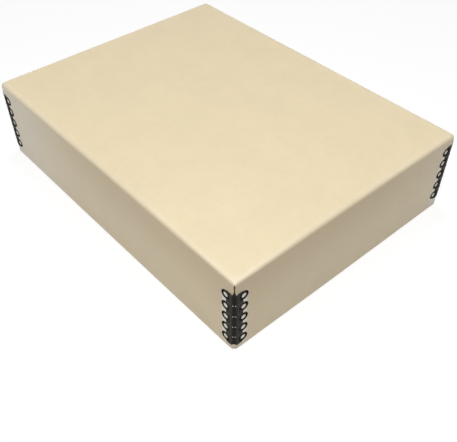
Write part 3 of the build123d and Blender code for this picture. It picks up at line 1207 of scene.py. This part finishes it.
def nib_patch():
    """The nib: the ridge's middle columns run on to a point at height 0."""
    columns = ridge_turns[np.abs(outer_radius * np.sin(ridge_turns)) < nib_half_width]
    rise = np.array([0.0, 0.35, 0.7, 0.92, 1.0])
    turn, part = np.meshgrid(columns, rise)
    widest = np.sin(columns.max())
    top = nib_height * (1 - np.sin(np.abs(turn)) / widest)
    down = nib_height - top * part
    height = metal - rim_roll((1 - part) * top, rim_roll_reach)
    front = round_the_bend(turn, height, down)
    back = round_the_bend(turn, np.full(turn.shape, -sunk), down)
    by_tip = (part > 0.9).astype(float)
    # The nib takes the ridge's painted shade in full.
    marks = marks_of(stay_marks, turn.size, rim=by_tip, ridge=np.ones(turn.size))
    return front.reshape(-1, 3), back.reshape(-1, 3), grid_cells(*turn.shape[::-1]), marks


print("ridge rows:", len(ridge_rows()), "columns:", len(ridge_turns))

# %% [markdown]
# ## A wing and its eyelets
# Each wing is five cells in a row, one round each eyelet. Holes could be cut from a plate with
# booleans, but their rims would be corners, not beads. So a cell is drawn in rings about the eyelet's
# centre: first true circles from the hole's rim to the eyelet's, then, on the corner's side, rings that
# change from the circle to the cell's straight border. The ring's section is a low rounded bead, and a
# shallow groove parts it from the band, as the punch leaves it.

# %% Eyelet cells
end_rounding = 2.6 * mm
end_trim = 0.5 * mm
groove_reach = 0.7 * mm
arc_columns = 13
bead = np.array([0.0, 0.05, 0.14, 0.30, 0.5, 0.70, 0.86, 0.95, 1.0])
past_bead = np.array([0.18, 0.45, 1.0])
from_band_edge = np.array([0, 0.16, 0.3, 0.5, 0.75, 1.0])


def cell_border(up, down_to, rows):
    """Angles and places of one cell's border, about the eyelet's centre, once round from the tip.

    The free edge is an arc. Then come the band's edge, the line to the next cell, the bend's line
    with one place for each of the ridge's rows, and the same back again. At the band's two ends,
    the line is trimmed off by a quarter circle beside the band's edge."""
    trim_up, trim_down = (0.0 if way == eyelet_pitch / 2 else end_trim for way in (up, down_to))
    arc_end = np.arccos((band_reach - eyelet_reach) / eyelet_radius)
    arc = np.linspace(0, arc_end, arc_columns)
    free = np.stack([np.cos(arc), np.sin(arc)], axis=1) * eyelet_radius
    inwards = (band_reach - fold_radius) * from_band_edge
    reach = band_reach - eyelet_reach - inwards
    rounded = 1 - np.sqrt(1 - np.clip(1 - inwards / end_rounding, 0, 1) ** 2)
    lower = np.stack([reach, down_to - trim_down * rounded], axis=1)
    upper = np.stack([reach, trim_up * rounded - up], axis=1)[::-1]
    inner = np.stack([np.full(len(rows), fold_radius - eyelet_reach), rows], axis=1)[::-1][1:-1]
    border = np.concatenate([free, lower, inner, upper, free[:0:-1] * (1, -1)])
    angles = np.arctan2(border[:, 1], border[:, 0]) % (2 * pi)
    first_low, last_up = len(free), len(free) + len(inner) + 2 * len(reach) - 1
    angles[first_low] = arc_end + radians(3.5)
    angles[last_up] = 2 * pi - arc_end - radians(3.5)
    return angles, border, arc_end


def wing_cell(side, centre, up, down_to, rows):
    """One cell of a wing: rings of the eyelet, then rings out to the cell's border.

    With t from -1 to 1 across it, the bead falls away from its top by |t|^3.5. Past it, the groove
    comes up again by a square over its reach."""
    angles, border, arc_end = cell_border(up, down_to, rows)
    around = np.stack([np.cos(angles), np.sin(angles)], axis=1)
    radii = eyelet_hole + (eyelet_radius - eyelet_hole) * bead
    rings = radii[:, None, None] * around[None]
    bead_height = metal - rolled_share * metal * np.abs(2 * bead - 1) ** 3.5
    width = np.linalg.norm(border - rings[-1], axis=1)
    beyond = rings[-1][None] + (border - rings[-1])[None] * past_bead[:, None, None]
    rise = np.clip(past_bead[:, None] * width[None] / groove_reach, 0, 1)
    beyond_height = metal - rolled_share * metal * (1 - rise) ** 2
    places = np.concatenate([rings, beyond])
    heights = np.concatenate([np.repeat(bead_height[:, None], len(angles), 1), beyond_height])
    free = np.minimum(angles, 2 * pi - angles) <= arc_end + 1e-6
    across, down = eyelet_reach + places[..., 0], centre + places[..., 1]
    level = places.shape[0]
    close = np.arange(len(angles) + 1) % len(angles)
    across, down, heights = across[:, close], down[:, close], heights[:, close]
    keep = np.ones((level - 1, len(angles)), bool)
    both_free = free & free[close[1:]]
    keep[len(radii) - 1:, both_free] = False
    rim = np.concatenate([np.abs(2 * bead - 1) ** 4, np.zeros(len(past_bead))])
    front = on_wing(side, across, heights, down).reshape(-1, 3)
    back = on_wing(side, across, np.full(across.shape, -sunk), down).reshape(-1, 3)
    # The ring mark puts painted shade and more roughness on the bead.
    ring = np.concatenate([np.ones(len(bead)), [0.7, 0.2, 0.0]])
    by_rim, by_ring = (np.repeat(mark[:, None], across.shape[1], 1) for mark in (rim, ring))
    marks = marks_of(stay_marks, across.size, rim=by_rim, ring=by_ring)
    cells = grid_cells(across.shape[1], level, keep)
    return front, back, cells[:, ::side], marks


def wing_patches(side):
    """The cells of a wing, each with the ridge's rows that border it."""
    rows = ridge_rows()
    made = []
    for number, centre in enumerate(eyelet_heights):
        up = first_margin if number == 0 else eyelet_pitch / 2
        down_to = last_margin if number == eyelet_count - 1 else eyelet_pitch / 2
        beside = rows[(rows > centre - up - 1e-7) & (rows < centre + down_to + 1e-7)] - centre
        made.append(wing_cell(side, centre, up, down_to, beside))
    return made


print("a wing has", len(wing_patches(1)), "cells")

# %% [markdown]
# ## Prongs
# A prong is the tooth that the punch left standing in the eyelet's hole. It turns in over the hole's
# rim, goes straight through the board and is clinched over inside, pointing away from the corner. With
# the lid on no one sees it, but it is all that holds the box together. A bevelled curve could make it,
# but its ends and its taper would be clumsy. Here it is a flat strip carried along that path, a little
# sunk at its tip, and it tapers to a blunt point.

# %% Prongs
prong_bend = 0.45 * mm
tip_dip = 0.10 * mm
taper_length = 1.2 * mm


def prong_path():
    """Across and height of the prong's middle line, and its heading turned a quarter, per point."""
    leg = prong_root - metal / 2
    inside = -board - metal / 2
    turn = np.linspace(0, pi / 2, 5)
    rounded = prong_bend * np.stack([np.sin(turn), np.cos(turn)], axis=1)
    over_rim = rounded + (leg - prong_bend, metal / 2 - prong_bend)
    clinched = (leg + prong_bend, inside + prong_bend) - rounded[:, ::-1]
    run = np.linspace(leg + prong_bend, prong_root + clinch_length, 8)[1:]
    dip = tip_dip * ((run - run[0]) / (run[-1] - run[0])) ** 2
    path = np.concatenate([over_rim, clinched, np.stack([run, inside + dip], axis=1)])
    step = np.gradient(path, axis=0)
    step /= np.linalg.norm(step, axis=1)[:, None]
    return path, np.stack([-step[:, 1], step[:, 0]], axis=1)


def prong_patch(side, centre):
    """The prong as a sheet: path times width, with its two faces half a thickness each way."""
    path, normal = prong_path()
    length = np.concatenate([[0], np.cumsum(np.linalg.norm(np.diff(path, axis=0), axis=1))])
    from_tip = length[-1] - length
    half = prong_width / 2 * np.clip(0.16 + 0.84 * from_tip / taper_length, 0, 1) ** 0.8
    part, row = np.meshgrid(np.linspace(-1, 1, 5), np.arange(len(path)))
    thin = 0.5 * metal * np.clip(0.45 + from_tip / (1.5 * mm), 0, 1)
    faces = []
    for way in (1, -1):
        offset = path + normal * (way * thin)[:, None]
        faces.append(on_wing(side, offset[row, 0], offset[row, 1], centre + part * half[row]).reshape(-1, 3))
    marks = marks_of(stay_marks, part.size, rim=np.clip(1 - from_tip[row] / (0.8 * mm), 0, 1))
    return faces[0], faces[1], grid_cells(*part.shape[::-1])[:, ::side], marks


prongs = [prong_patch(side, centre) for side in (1, -1) for centre in eyelet_heights]
print("a stay has", len(prongs), "prongs")

# %% [markdown]
# ## Six stays
# The lid has a stay on each corner. The tray has one on each back corner only, because its front has to
# drop. A mirror would make the left ones from the right ones, but it turns faces inside out. A stay is
# the same both ways round, so quarter turns do: they are one shape, turned and carried to their
# corners, with the nib always towards the panel: upwards on the lid, downwards on the tray.

# %% Stays on their corners
quarter_turns = {(1, -1): 0, (1, 1): 1, (-1, 1): 2, (-1, -1): 3}
strip = stacked([ridge_patch(), nib_patch(), *wing_patches(1), *wing_patches(-1)])


def to_corner(points, corner, length, width, place):
    """Turns the stay from the +X, -Y corner to its own and carries it there."""
    turned = points
    for _ in range(quarter_turns[corner]):
        turned = np.stack([-turned[:, 1], turned[:, 0], turned[:, 2]], axis=1)
    return place(turned + (corner[0] * length / 2, corner[1] * width / 2, 0))


def make_stay(node, body, corner, start, length, width, place, enamel):
    """One stay with its ten prongs, its nib's tip at its own start below the panel's face."""
    patches = []
    for front, back, cells, marks in [strip, *prongs]:
        faces = [to_corner(face + (0, 0, start), corner, length, width, place) for face in (front, back)]
        patches.append((*faces, cells, marks))
    name = node.replace("stay", "corner_stay")
    make_piece(name, patches, body, [node], [enamel], radians(50))


for side_name, side_x in sides.items():
    for end_name, end_y in ends.items():
        node, corner = f"lid_stay_{end_name}_{side_name}", (side_x, end_y)
        make_stay(node, "lid", corner, lid_starts[corner], lid_length, lid_width, panel_up, lid_enamel)
    node, corner = f"tray_stay_back_{side_name}", (side_x, 1)
    make_stay(node, "tray", corner, tray_starts[corner], tray_length, tray_width, panel_down, tray_enamel)
